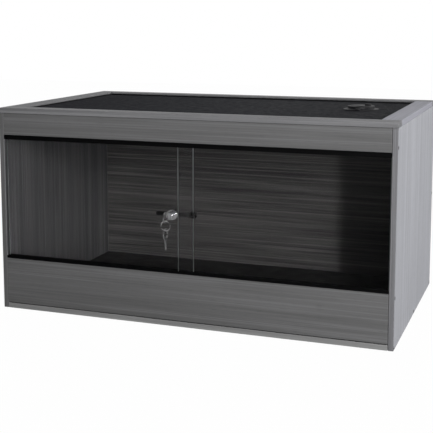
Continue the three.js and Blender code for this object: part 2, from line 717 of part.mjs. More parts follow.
const OUTER_LAMINATE = finish(0x8f8f93, 0.5);
const FRONT_LAMINATE = finish(0x626264, 0.5);
const EDGE_LAMINATE = finish(0x6e6e72, 0.5);
const LINER = finish(0x1b1b1d, 0.35);
const BLACK_PLASTIC = finish(0x0c0c0d, 0.4);
const SCREEN = finish(0x3a3b3f, 0.5, 0.4);
const CLEAR_GLASS = finish(0xcfe0dc, 0.02, 0, 0.3);
const BLACK_STEEL = finish(0x101011, 0.35, 0.8);
const CHROME = finish(0xd8dade, 0.12, 1);
const STEEL = finish(0x9a9a9c, 0.3, 1);
const NICKEL = finish(0xb8b8ba, 0.25, 1);
const GREY_PLASTIC = finish(0x4c4d52, 0.45);
const BEECH = finish(0xc8a878, 0.7);

// ---------------------------------------------------------------- assembly

const cabinet = new THREE.Group();
cabinet.name = 'terrarium_cabinet';

function add(name, geometry, look) {
  const piece = new THREE.Mesh(geometry, new THREE.MeshStandardMaterial(look));
  piece.name = name;
  cabinet.add(piece);
}

for (const side of SIDES) {
  add(`side_panel_${side.name}`, sidePanel(side), OUTER_LAMINATE);
  add(`top_rail_${side.name}`, sideRail(side), OUTER_LAMINATE);
  add(`screen_batten_${side.name}`, shortBatten(side), BLACK_PLASTIC);
  for (const place of SCREWS) {
    add(`screw_${place.place}_${side.name}`, screwGeometry(side.sign, place), BLACK_STEEL);
  }
  for (const end of ENDS) {
    add(`dowel_panel_${end.name}_${side.name}`, panelDowel(side, end), BEECH);
    add(`dowel_corner_${end.name}_${side.name}`, cornerDowel(side, end), BEECH);
  }
}
for (const end of ENDS) {
  add(`top_rail_${end.name}`, crossRail(end), EDGE_LAMINATE);
  add(`screen_batten_${end.name}`, longBatten(end), BLACK_PLASTIC);
}
add('base_panel', basePanel(), EDGE_LAMINATE);
add('back_panel', backPanel(), FRONT_LAMINATE);
add('fascia_lower', lowerFascia(), FRONT_LAMINATE);
add('fascia_upper', upperFascia(), FRONT_LAMINATE);
add('floor_liner', floorLiner(), LINER);
add('screen_mesh', screenMesh(), SCREEN);
add('track_upper', trackGeometry(UPPER_TRACK_HEIGHT, UPPER_TRACK_TOP, -1), BLACK_PLASTIC);
add('track_lower', trackGeometry(LOWER_TRACK_HEIGHT, LOWER_TRACK_FROM, 1), BLACK_PLASTIC);
add('glass_door_left', leftPane(), CLEAR_GLASS);
add('glass_door_right', rightPane(), CLEAR_GLASS);
add('lock_bar', lockBar(), BLACK_STEEL);
add('lock_body', lockBody(), CHROME);
add('lock_plug', lockPlug(), STEEL);
add('lock_pawl', lockPawl(), NICKEL);
add('key', insertedKey(), NICKEL);
add('key_ring', keyRing(), NICKEL);
add('spare_key', spareKey(), NICKEL);
add('port_base', portBase(), GREY_PLASTIC);
add('port_clamp', portClamp(), GREY_PLASTIC);
add('port_lid', portLid(), GREY_PLASTIC);

export default cabinet;
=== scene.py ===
"""A terrarium cabinet with sliding glass doors: finished surfaces, stage, lamps and camera.

Metres, +X to the right along the front, -Y the front, +Z up, the floor at z = 0.
"""
import math

import bmesh
import bpy
from bpy.props import FloatProperty, FloatVectorProperty, PointerProperty
from mathutils import Matrix, Vector


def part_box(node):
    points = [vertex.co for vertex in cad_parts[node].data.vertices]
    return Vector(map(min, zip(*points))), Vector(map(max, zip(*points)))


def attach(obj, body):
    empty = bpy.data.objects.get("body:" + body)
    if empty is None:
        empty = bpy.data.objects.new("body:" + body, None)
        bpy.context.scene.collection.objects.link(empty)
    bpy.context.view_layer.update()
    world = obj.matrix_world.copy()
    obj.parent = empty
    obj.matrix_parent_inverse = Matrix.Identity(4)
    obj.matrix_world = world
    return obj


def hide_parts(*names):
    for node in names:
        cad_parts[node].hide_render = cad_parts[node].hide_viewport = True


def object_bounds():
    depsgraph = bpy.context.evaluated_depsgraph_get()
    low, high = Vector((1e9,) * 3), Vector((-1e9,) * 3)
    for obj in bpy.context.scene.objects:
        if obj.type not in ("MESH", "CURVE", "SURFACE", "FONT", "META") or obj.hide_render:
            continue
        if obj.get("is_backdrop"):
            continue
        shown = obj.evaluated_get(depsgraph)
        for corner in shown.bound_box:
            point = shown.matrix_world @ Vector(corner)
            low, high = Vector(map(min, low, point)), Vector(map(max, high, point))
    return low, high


bl_info = {
    "name": "Terrarium Cabinet",
    "version": (1, 0, 0),
    "blender": (4, 5, 0),
    "location": "View3D > Sidebar > Cabinet",
    "description": "Builds the finished surfaces of a terrarium cabinet round its solid model",
    "category": "Object",
}

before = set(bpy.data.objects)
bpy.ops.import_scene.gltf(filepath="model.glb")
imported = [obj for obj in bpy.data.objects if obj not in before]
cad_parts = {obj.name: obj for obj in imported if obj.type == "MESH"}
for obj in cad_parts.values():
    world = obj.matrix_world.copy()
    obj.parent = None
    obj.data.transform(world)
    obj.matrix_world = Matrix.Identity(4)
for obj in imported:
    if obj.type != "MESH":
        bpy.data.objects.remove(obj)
CAD_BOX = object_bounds()

MM = 0.001
GAP = 0.3 * MM  # between pieces that touch
OVERCUT = MM  # how far a cutter reaches past the face that it opens
ROUND = 96  # segments of a large round piece
ROUND_SMALL = 32
SHARP = math.radians(25)  # edges that turn more than this stay sharp
CORNER = math.radians(60)  # edges that turn more than this are corners to round
WHITE = (1, 1, 1, 1)
SIDES = (("left", -1), ("right", 1))
ENDS = (("front", -1), ("back", 1))
SCREW_PLACES = (
    "upper_fascia", "lower_fascia", "base_front", "base_middle", "base_back", "back_middle",
    "back_top",
)
ALONG_X, ALONG_Y, ALONG_Z = "XYZ", "YXZ", "ZXY"  # the axes, with the grain's own first
GRAINS = {  # where each finish goes, its pale grain and its dark grain; several tones are copies of one grey laminate with painted light or painted shade
    # Side panels: painted light, lighter than the fascias as the light falls from the right.
    "outer": ("of the side panels", (190, 191, 197), (170, 171, 176)),
    # Fascias, back board and left front edge: painted shade on the faces turned to the front.
    "front": ("of the fascias", (124, 124, 125), (104, 104, 104)),
    # Right side rail only: painted light from the right; the left rail takes the darker cross-rail
    # tone as painted shade.
    "lit_side_rail": ("of the side rails", (180, 180, 190), (156, 156, 165)),
    "cross_rail": ("of the cross rails", (143, 143, 145), (120, 120, 122)),
    "base": ("of the base board", (170, 170, 170), (144, 144, 144)),
    # Right front edge only: painted light; the left front edge takes the fascias' tone as painted
    # shade.
    "edge": ("of the side panels' edges", (142, 142, 145), (116, 116, 119)),
    # Insides of the sides, and of the front and back: darker tones as painted shade inside the
    # cabinet.
    "wall": ("inside the sides", (96, 96, 97), (68, 68, 69)),
    "inner": ("inside front and back", (92, 91, 89), (46, 46, 46)),
}

# The lock's bar, barrel and key, as in the solids.
BAR_THICK = 1.6 * MM
BAR_HALF = 5 * MM
HOOK_LENGTH = 15 * MM
TOOTH_PITCH = 4 * MM
TOOTH_DEPTH = 1.4 * MM
TEETH_EACH_SIDE = 8
BOW_RADIUS = 13 * MM

# The cable port, as in the solids.
LID_RADIUS = 28 * MM
WINDOW_RADIUS = 24 * MM
WINDOW_BAR = 3 * MM  # half of the bar between the two half-moons
SCREEN_HOLE_RADIUS = 27.6 * MM


def linear(*shades):
    """Scene-linear colour for red, green and blue given from 0 to 255."""
    return tuple(
        s / 255 / 12.92 if s / 255 <= 0.04045 else ((s / 255 + 0.055) / 1.055) ** 2.4
        for s in shades
    )


def centre(box):
    return (box[0] + box[1]) / 2


# ---- sizes and colours


def size_property(name, description, default, high=1.0):
    return FloatProperty(
        name=name, description=description, default=default, min=0.0, max=high,
        unit="LENGTH", subtype="DISTANCE", precision=5,
    )


def colour_property(name, description, default):
    return FloatVectorProperty(
        name=name, description=description, default=default, size=3, min=0.0, max=1.0,
        subtype="COLOR",
    )


def share_property(name, description, default, high=1.0):
    return FloatProperty(
        name=name, description=description, default=default, min=0.0, max=high, subtype="FACTOR",
    )


def power_property(name, description, default):
    return FloatProperty(
        name=name, description=description, default=default, min=0.0, max=1000.0, unit="POWER",
    )


def angle_property(name, description, degrees):
    return FloatProperty(
        name=name, description=description, default=math.radians(degrees), subtype="ANGLE",
        unit="ROTATION",
    )


class CabinetBoards(bpy.types.PropertyGroup):
    """Sizes and colours of the laminated boards."""

    edge_radius: size_property("Edge Radius", "Rounding of the edge banding", 0.0011)
    front_radius: size_property("Front Radius", "Rounding of the side panels' front edges", 0.0022)


# Each finish has a pale and a dark grain for the user to change; several finishes are lighter or
# darker copies that hold painted light and shade.
for key, (where, pale, dark) in GRAINS.items():
    label = key.replace("_", " ").title()
    for tone, word, shades in (("light", "Pale", pale), ("dark", "Dark", dark)):
        CabinetBoards.__annotations__[f"{key}_{tone}"] = colour_property(
            f"{label} {tone.title()}", f"{word} grain {where}", linear(*shades)
        )


class CabinetGlass(bpy.types.PropertyGroup):
    """Sizes and colours of the glass doors and their tracks."""

    edge_chamfer: size_property("Edge Chamfer", "Ground chamfer of the glass edges", 0.0005)
    clear: colour_property("Clear", "Tint through the faces", (0.962, 0.958, 0.966))
    edge: colour_property("Edge", "Tint of the ground edges", linear(190, 198, 196))
    track: colour_property("Track", "Colour of the tracks", linear(4, 4, 5))
    lip_radius: size_property("Lip Radius", "Rounding of the track lips", 0.0004)


class CabinetScreen(bpy.types.PropertyGroup):
    """Sizes and colours of the woven wire screen."""

    pitch: size_property("Pitch", "Distance from wire to wire", 0.0020)
    wire: size_property("Wire", "Thickness of a wire", 0.0007)
    bead: size_property("Bead", "Width of the black bead round the screen", 0.0026)
    wire_colour: colour_property("Wire Colour", "Coated wire", linear(9, 11, 19))
    # The bead's black also stands for painted shade along the corner under the rails.
    bead_colour: colour_property("Bead Colour", "Rubber bead round the screen", linear(14, 14, 15))
    batten_colour: colour_property("Batten Colour", "Battens under the screen", linear(30, 30, 32))


class CabinetLock(bpy.types.PropertyGroup):
    """Sizes and colours of the lock, its bar and its keys."""

    bevel: size_property("Bevel", "Rounding of the small metal edges", 0.0002)
    chrome: colour_property("Chrome", "Polished lock barrel", (0.85, 0.85, 0.87))
    nickel: colour_property("Nickel", "Keys, ring and pawl", (0.92, 0.92, 0.93))
    plug: colour_property("Plug", "Lock plug", (0.36, 0.36, 0.37))
    black: colour_property("Black", "Lock bar and screws", linear(12, 12, 13))


class CabinetPort(bpy.types.PropertyGroup):
    """Sizes and colours of the cable port."""

    bevel: size_property("Bevel", "Rounding of the moulded edges", 0.0005)
    flange: colour_property("Flange", "Moulded plastic", linear(31, 31, 34))
    liner: colour_property("Liner", "Smooth floor liner", linear(17, 17, 18))
    dowel: colour_property("Dowel", "Beech dowels", linear(200, 168, 120))


class CabinetStage(bpy.types.PropertyGroup):
    """Light, floor and camera."""

    floor_side: size_property("Floor Side", "Side of the square floor", 14.0, high=40.0)
    floor_shade: share_property("Floor Shade", "Reflectance of the floor", 0.33)
    floor_glow: share_property("Floor Glow", "Share of plain white that the eye sees", 0.99)
    ambient: share_property("Ambient", "Strength of the light from all round", 0.40, high=2.0)
    key_power: power_property("Key Power", "Power of the lamp in front", 64.0)
    side_power: power_property("Side Power", "Power of the lamp at the right", 44.0)
    top_power: power_property("Top Power", "Power of the lamp above", 8.0)
    lens: FloatProperty(
        name="Lens", description="Focal length in millimetres", default=81.01, min=10.0, max=300.0,
        unit="CAMERA",
    )
    shift: FloatProperty(
        name="Shift", description="Vertical shift of the picture", default=-0.17,
        min=-0.5, max=0.5,
    )
    eye: FloatVectorProperty(
        name="Eye", description="Place of the camera", default=(0.7678, -2.1921, 0.6774), size=3,
        subtype="TRANSLATION", unit="LENGTH",
    )
    pitch: angle_property("Pitch", "Tilt below the horizontal", 7.399)
    turn: angle_property("Turn", "Turn to the left of the depth axis", 19.848)


# ---- meshes


def place(bm, x_to, y_to, z_to, at):
    """Lays a shape's own axes along three directions, with its origin at a point."""
    basis = Matrix((x_to, y_to, z_to)).transposed().to_4x4()
    bmesh.ops.transform(bm, matrix=Matrix.Translation(at) @ basis, verts=bm.verts[:])
    return bm


def moved(bm, by):
    bmesh.ops.translate(bm, vec=by, verts=bm.verts[:])
    return bm


def block(low, high):
    bm = bmesh.new()
    low, high = Vector(low), Vector(high)
    bmesh.ops.create_cube(bm, size=1.0)
    bmesh.ops.scale(bm, vec=high - low, verts=bm.verts[:])
    return moved(bm, centre((low, high)))


def rounded(bm, edges, radius, segments=3):
    bmesh.ops.bevel(
        bm, geom=edges, offset=radius, offset_type="OFFSET", segments=segments, profile=0.5,
        affect="EDGES", clamp_overlap=True, material=-1,
    )
    return bm


def rounded_block(low, high, radius, segments=3):
    bm = block(low, high)
    return rounded(bm, bm.edges[:], radius, segments)


def corner_edges(bm):
    return [edge for edge in bm.edges if edge.calc_face_angle(0) > CORNER]


def cleaned(bm):
    bmesh.ops.remove_doubles(bm, verts=bm.verts[:], dist=1e-7)
    bmesh.ops.dissolve_degenerate(bm, dist=1e-7, edges=bm.edges[:])
    bmesh.ops.recalc_face_normals(bm, faces=bm.faces[:])
    return bm


def turned(profile, segments=ROUND):
    """A profile of (radius, height) pairs from low to high, turned about the Z axis."""
    bm = bmesh.new()
    points = [bm.verts.new((radius, 0, height)) for radius, height in profile]
    lines = [bm.edges.new(pair) for pair in zip(points, points[1:])]
    bmesh.ops.spin(
        bm, geom=points + lines, cent=(0, 0, 0), axis=(0, 0, 1), dvec=(0, 0, 0),
        angle=math.tau, steps=segments, use_merge=True, use_duplicate=False,
    )
    return cleaned(bm)


def mesh_from(bm, name="shape"):
    mesh = bpy.data.meshes.new(name)
    bm.to_mesh(mesh)
    bm.free()
    return mesh


def added(name, data):
    """A new object in the scene for a mesh, a curve, a lamp or a camera."""
    thing = bpy.data.objects.new(name, data)
    bpy.context.scene.collection.objects.link(thing)
    return thing


def shape_of(thing):
    """An object's shape, with its modifiers applied."""
    bpy.context.view_layer.update()
    evaluated = thing.evaluated_get(bpy.context.evaluated_depsgraph_get())
    made = bpy.data.meshes.new_from_object(evaluated)
    bm = bmesh.new()
    bm.from_mesh(made)
    bpy.data.meshes.remove(made)
    return bm


def discard(thing):
    data = thing.data
    bpy.data.objects.remove(thing)
    if isinstance(data, bpy.types.Curve):
        bpy.data.curves.remove(data)
    else:
        bpy.data.meshes.remove(data)


def combined(bm, others, operation):
    """The shape joined with the others, or with the others cut from it."""
    body = added("shape", mesh_from(bm))
    tools = [added("shape", mesh_from(other)) for other in others]
    for tool in tools:
        step = body.modifiers.new("step", "BOOLEAN")
        step.operation = operation
        step.solver = "EXACT"
        step.object = tool
    result = shape_of(body)
    for thing in (body, *tools):
        discard(thing)
    return cleaned(result)


def cut(bm, cutters):
    return combined(bm, cutters, "DIFFERENCE")


def joined(bm, others):
    return combined(bm, others, "UNION")


def plate(outlines, thickness, bevel):
    """A flat plate with rounded edges between the outlines, centred on its thickness along Z."""
    curve = bpy.data.curves.new("outline", "CURVE")
    curve.dimensions = "2D"
    curve.fill_mode = "BOTH"
    curve.extrude = thickness / 2 - bevel
    curve.bevel_depth = bevel
    curve.bevel_resolution = 1
    curve.offset = -bevel
    for outline in outlines:
        line = curve.splines.new("POLY")
        line.points.add(len(outline) - 1)
        for point, (x, y) in zip(line.points, outline):
            point.co = (x, y, 0, 1)
        line.use_cyclic_u = True
    thing = added("outline", curve)
    bm = shape_of(thing)
    discard(thing)
    bmesh.ops.remove_doubles(bm, verts=bm.verts[:], dist=1e-6)
    bmesh.ops.recalc_face_normals(bm, faces=bm.faces[:])
    return bm


def arc(x, y, radius, start, end, steps):
    """Points of an arc, with its angles in degrees."""
    angles = (math.radians(start + (end - start) * i / steps) for i in range(steps + 1))
    return [(x + radius * math.cos(a), y + radius * math.sin(a)) for a in angles]


def piece(name, bm, body, slot, materials, replaced=(), smooth=True):
    """Makes a finished piece that rides on a body and stands for the nodes that it replaces."""
    mesh = mesh_from(bm, name)
    for material in materials:
        mesh.materials.append(material)
    if smooth:
        mesh.polygons.foreach_set("use_smooth", [True] * len(mesh.polygons))
        mesh.set_sharp_from_angle(angle=SHARP)
    thing = added(name, mesh)
    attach(thing, body)
    if replaced:
        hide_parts(*replaced)
    return thing


def face_towards(bm, direction, index, least=0.99):
    """Gives the faces that look in a direction, to a least cosine, the material with an index."""
    bm.normal_update()
    for face in bm.faces:
        if face.normal.dot(Vector(direction)) > least:
            face.material_index = index
    return bm


def dress(node, material):
    """Gives a node of the solid model its finish."""
    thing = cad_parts[node]
    thing.data.materials.clear()
    thing.data.materials.append(material)


# ---- materials


def feed(tree, node, inputs):
    """Links or sets a node's inputs, given by name or number."""
    for key, source in inputs.items():
        if isinstance(source, bpy.types.NodeSocket):
            tree.links.new(source, node.inputs[key])
        else:
            node.inputs[key].default_value = source
    return node


def add(tree, kind, inputs=None, **settings):
    """A new node with its settings and its inputs."""
    made = tree.nodes.new(kind)
    for key, value in settings.items():
        setattr(made, key, value)
    return feed(tree, made, inputs or {})


def mix_colours(tree, factor, first, second):
    inputs = {0: factor, 6: first, 7: second}
    return add(tree, "ShaderNodeMix", inputs, data_type="RGBA", clamp_factor=True).outputs[2]


def maths(tree, operation, first, second):
    return add(tree, "ShaderNodeMath", {0: first, 1: second}, operation=operation).outputs[0]


def weighed(tree, value, share):
    return maths(tree, "MULTIPLY", value, share)


def stretched_noise(tree, vector, scale, detail, distortion=0.0):
    vector = add(tree, "ShaderNodeMapping", {"Vector": vector, "Scale": scale}).outputs[0]
    inputs = {"Vector": vector, "Scale": 1.0, "Detail": detail, "Distortion": distortion}
    return add(tree, "ShaderNodeTexNoise", inputs).outputs[0]


def spread(tree, value, low, high, to_low=0.0, to_high=1.0):
    inputs = {0: value, 1: low, 2: high, 3: to_low, 4: to_high}
    return add(tree, "ShaderNodeMapRange", inputs, clamp=True).outputs[0]


def new_group(name, inputs, outputs):
    tree = bpy.data.node_groups.new(name, "ShaderNodeTree")
    for in_out, sockets in (("INPUT", inputs), ("OUTPUT", outputs)):
        for label, kind in sockets:
            tree.interface.new_socket(label, in_out=in_out, socket_type=kind)
    return tree, tree.nodes.new("NodeGroupInput").outputs, tree.nodes.new("NodeGroupOutput").inputs


def grain_group():
    """Printed wood grain that runs along X: long bands, fine streaks and short pores."""
    name = "wood grain"
    if name in bpy.data.node_groups:
        return bpy.data.node_groups[name]
    colour = "NodeSocketColor"
    tree, given, out = new_group(
        name,
        (("Vector", "NodeSocketVector"), ("Dark", colour), ("Light", colour)),
        (("Color", colour), ("Height", "NodeSocketFloat")),
    )
    vector, dark, light = (given[label] for label in ("Vector", "Dark", "Light"))
    bands = stretched_noise(tree, vector, (1.7, 46, 46), 5.0, 0.6)
    streaks = stretched_noise(tree, vector, (5, 330, 330), 4.0)
    pores = stretched_noise(tree, vector, (38, 1300, 1300), 2.0)
    lines = spread(tree, stretched_noise(tree, vector, (1.3, 260, 260), 1.0), 0.54, 0.68)
    figure = maths(tree, "ADD", weighed(tree, bands, 0.5), weighed(tree, streaks, 0.4))
    figure = maths(tree, "ADD", figure, weighed(tree, lines, 0.25))
    tone = spread(tree, figure, 0.34, 0.66)
    pore = spread(tree, pores, 0.6, 0.72)
    plain = mix_colours(tree, tone, dark, light)
    deep = mix_colours(tree, 0.5, dark, (0, 0, 0, 1))
    tree.links.new(mix_colours(tree, weighed(tree, pore, 0.45), plain, deep), out["Color"])
    tree.links.new(maths(tree, "SUBTRACT", weighed(tree, tone, 0.4), pore), out["Height"])
    return tree


def speckle_group():
    """Fine moulded or powdery texture, and broad patches of wear."""
    name = "speckle and wear"
    if name in bpy.data.node_groups:
        return bpy.data.node_groups[name]
    tree, given, out = new_group(
        name,
        (("Vector", "NodeSocketVector"), ("Fineness", "NodeSocketFloat")),
        (("Speckle", "NodeSocketFloat"), ("Wear", "NodeSocketFloat")),
    )
    inputs = {0: given["Vector"], "Scale": given["Fineness"]}
    scaled = add(tree, "ShaderNodeVectorMath", inputs, operation="SCALE").outputs[0]
    tree.links.new(stretched_noise(tree, scaled, (1, 1, 1), 3.0), out["Speckle"])
    broad = stretched_noise(tree, scaled, (0.03, 0.03, 0.03), 5.0, 0.5)
    tree.links.new(spread(tree, broad, 0.3, 0.7), out["Wear"])
    return tree


def new_material(name, **values):
    material = bpy.data.materials.new(name)
    material.use_nodes = True
    tree = material.node_tree
    shader = tree.nodes["Principled BSDF"]
    for key, value in values.items():
        shader.inputs[key.replace("_", " ")].default_value = value
    coordinates = tree.nodes.new("ShaderNodeTexCoord").outputs["Object"]
    return material, tree, shader, coordinates


def show_mixed(tree, share, first, second, output):
    """Gives an output node the mix of two shaders."""
    inputs = {0: share, 1: first.outputs[0], 2: second.outputs[0]}
    mix = add(tree, "ShaderNodeMixShader", inputs)
    feed(tree, tree.nodes[output], {"Surface": mix.outputs[0]})


def speckled(tree, coordinates, fineness):
    inputs = {"Vector": coordinates, "Fineness": fineness}
    return add(tree, "ShaderNodeGroup", inputs, node_tree=speckle_group()).outputs


def bump(tree, height, strength, distance):
    inputs = {"Height": height, "Strength": strength, "Distance": distance}
    return add(tree, "ShaderNodeBump", inputs).outputs[0]


def opaque(colour):
    return (*colour, 1.0)


def laminate(name, light, dark, order, roughness=0.5, level=0.28):
    """Grey wood-grain laminate, with its axes in the order that the grain takes them."""
    material, tree, shader, coordinates = new_material(name, Specular_IOR_Level=level)
    parts = add(tree, "ShaderNodeSeparateXYZ", {0: coordinates}).outputs
    ordered = {axis: parts[source] for axis, source in zip("XYZ", order)}
    along = add(tree, "ShaderNodeCombineXYZ", ordered).outputs[0]
    inputs = {"Vector": along, "Dark": opaque(dark), "Light": opaque(light)}
    grain = add(tree, "ShaderNodeGroup", inputs, node_tree=grain_group()).outputs
    wear = speckled(tree, coordinates, 300.0)["Wear"]
    feed(tree, shader, {
        "Base Color": grain["Color"],
        "Roughness": spread(tree, wear, 0, 1, roughness - 0.04, roughness + 0.06),
        "Normal": bump(tree, grain["Height"], 0.25, 0.2 * MM),
    })
    return material


def moulded(name, colour, roughness, fineness=2500.0, depth=0.04 * MM, contrast=0.12, **values):
    """Moulded plastic or a painted or coated surface, with a fine texture and slight wear."""
    material, tree, shader, coordinates = new_material(name, **values)
    texture = speckled(tree, coordinates, fineness)
    pale = tuple(min(1.0, c * (1 + contrast) + 0.004 * contrast) for c in colour)
    deep = tuple(c * (1 - contrast) for c in colour)
    feed(tree, shader, {
        "Base Color": mix_colours(tree, texture["Wear"], opaque(deep), opaque(pale)),
        "Roughness": spread(tree, texture["Wear"], 0, 1, roughness * 0.85, roughness * 1.2),
        "Normal": bump(tree, texture["Speckle"], 0.3, depth),
    })
    return material


def plated(name, colour, roughness, contrast=0.06, depth=0.01 * MM):
    return moulded(name, colour, roughness, 1800.0, depth, contrast, Metallic=1.0)


def glass(name, colour, roughness, clearness=1.0):
    """Clear glass that lets lamp light pass straight through."""
    material, tree, shader, coordinates = new_material(
        name, IOR=1.1, Transmission_Weight=clearness, Base_Color=opaque(colour)
    )
    smears = speckled(tree, coordinates, 260.0)["Wear"]
    feed(tree, shader, {"Roughness": spread(tree, smears, 0.35, 1, roughness, roughness + 0.003)})
    clear = add(tree, "ShaderNodeBsdfTransparent", {0: opaque(tuple(c * 0.97 for c in colour))})
    shadow = tree.nodes.new("ShaderNodeLightPath").outputs["Is Shadow Ray"]
    show_mixed(tree, shadow, shader, clear, "Material Output")
    return material


# ---- boards


def screw_spots(sign):
    """Place of each screw head in a side panel's outer face."""
    word = "left" if sign < 0 else "right"
    for name in SCREW_PLACES:
        low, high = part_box(f"screw_{name}_{word}")
        at = centre((low, high))
        at.x = high.x if sign > 0 else low.x
        yield name, at, (high.y - low.y) / 2


def outwards(bm, at, sign):
    """Lays a turned shape so that its heights run out of a side panel from a point."""
    return place(bm, (0, 1, 0), (0, 0, sign), (sign, 0, 0), at)


def countersink(at, radius, sign):
    """A cone that opens outwards, for cutting a screw's seat."""
    depth, mouth = 3.2 * MM, radius + GAP
    profile = (
        (0, -depth), (0.5 * radius, -depth), (mouth, 0), (mouth, OVERCUT), (0, OVERCUT),
    )
    return outwards(turned(profile, ROUND_SMALL), at, sign)


class CABINET_OT_boards(bpy.types.Operator):
    """Build the laminated boards of the carcass and the top frame"""

    bl_idname = "cabinet.boards"
    bl_label = "Boards"

    def execute(self, context):
        sizes = context.scene.cabinet_boards

        def finish(key, order, name=None, **values):
            name = name or key.replace("_", " ")
            pale, dark = (getattr(sizes, f"{key}_{tone}") for tone in ("light", "dark"))
            return laminate(f"{name} laminate", pale, dark, order, **values)

        # Lighter and darker copies of one laminate: painted light on the side panels, painted shade
        # on the fascias.
        outer = finish("outer", ALONG_Z)
        front = finish("front", ALONG_X)
        # The right rail painted lighter and the left rail painted darker, as light and shade from
        # the right.
        lit_side_rail = finish("lit_side_rail", ALONG_Y)
        shaded_left_rail = finish("cross_rail", ALONG_Y, "shaded left rail")
        cross_rail = finish("cross_rail", ALONG_X)
        base = finish("base", ALONG_X)
        # Front edges: the left one painted in shade with the fascias' tone, the right one painted
        # lighter.
        shaded_left_edge = finish("front", ALONG_Z, "shaded left edge")
        edge = finish("edge", ALONG_Z, "lit right edge")
        # Darker copies for the insides: painted shade inside the cabinet.
        inner = finish("inner", ALONG_X, level=0.15)
        wall = finish("wall", ALONG_Z, "inner wall", level=0.15)
        self.side_panels(sizes, ([outer, wall, shaded_left_edge], [outer, wall, edge]))
        self.rails(sizes, (shaded_left_rail, lit_side_rail, cross_rail, cross_rail))
        for name, node, material, slot, inward in (
            ("base_board", "base_panel", base, "edge_laminate", (0, 0, 1)),
            ("back_board", "back_panel", front, "front_laminate", (0, -1, 0)),
            ("lower_fascia_board", "fascia_lower", front, "front_laminate", (0, 1, 0)),
            ("upper_fascia_board", "fascia_upper", front, "front_laminate", (0, 1, 0)),
        ):
            # Faces towards the inside get the painted shade.
            bm = face_towards(rounded_block(*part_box(node), sizes.edge_radius), inward, 1)
            piece(name, bm, "cabinet", slot, [material, inner], [node], smooth=False)
        return {"FINISHED"}

    def side_panels(self, sizes, finishes):
        for (word, sign), materials in zip(SIDES, finishes):
            node = f"side_panel_{word}"
            low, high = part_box(node)
            bm = block(low, high)
            upright = [
                e for e in bm.edges
                if all(abs(v.co.y - low.y) < 1e-5 for v in e.verts)
                and abs(e.verts[0].co.x - e.verts[1].co.x) < 1e-5
            ]
            rounded(bm, upright, sizes.front_radius, 4)
            rounded(bm, corner_edges(bm), sizes.edge_radius)
            bm = cut(bm, [countersink(at, radius, sign) for _, at, radius in screw_spots(sign)])
            # The inner face gets the painted shade of the inside.
            face_towards(bm, (-sign, 0, 0), 1)
            # The front edges, their rounding too, get the painted light or painted shade of their
            # side.
            face_towards(bm, (0, -1, 0), 2, 0.3)
            name = f"side_board_{word}"
            piece(name, bm, "cabinet", "outer_laminate", materials, [node], smooth=False)

    def rails(self, sizes, materials):
        screen_low, screen_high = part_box("screen_mesh")
        play = Vector((GAP, GAP, GAP))
        recess_low, recess_high = screen_low - play, screen_high + play
        recess_low.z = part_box("top_rail_left")[0].z - OVERCUT
        for (word, _), material in zip(SIDES + ENDS, materials):
            node = f"top_rail_{word}"
            bm = rounded_block(*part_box(node), sizes.edge_radius)
            bm = cut(bm, [block(recess_low, recess_high)])
            slot = "edge_laminate" if word in ("front", "back") else "outer_laminate"
            piece(f"frame_rail_{word}", bm, "cabinet", slot, [material], [node], smooth=False)


class CABINET_OT_screws(bpy.types.Operator):
    """Build the cross-recessed screws in the side panels"""

    bl_idname = "cabinet.screws"
    bl_label = "Screws"

    def execute(self, context):
        sizes = context.scene.cabinet_lock
        material = moulded("black screws", sizes.black, 0.5, Specular_IOR_Level=0.25)
        for word, sign in SIDES:
            for name, at, radius in screw_spots(sign):
                bm = outwards(self.screw(radius), at, sign)
                node = f"screw_{name}_{word}"
                piece(f"panel_{node}", bm, "cabinet", "black_steel", [material], [node])
        return {"FINISHED"}

    def screw(self, radius):
        rim, crown = 0.25 * MM, 0.15 * MM
        shank, length, point = 1.9 * MM, 40 * MM, 4 * MM
        profile = (
            (0, -length), (shank * 0.3, -length + point * 0.5), (shank, -length + point),
            (shank, -3 * MM), (radius, -rim), (radius - rim, 0), (radius * 0.6, crown * 0.6),
            (0, crown * 0.6),
        )
        bm = turned(profile, ROUND_SMALL)
        wide, long, deep = 0.9 * MM, 2.5 * MM, 1.6 * MM
        wings = [
            rounded_block((-a, -b, -deep), (a, b, OVERCUT), 0.15 * MM, 1)
            for a, b in ((long, wide / 2), (wide / 2, long))
        ]
        return cut(bm, wings)


# ---- screen and insides


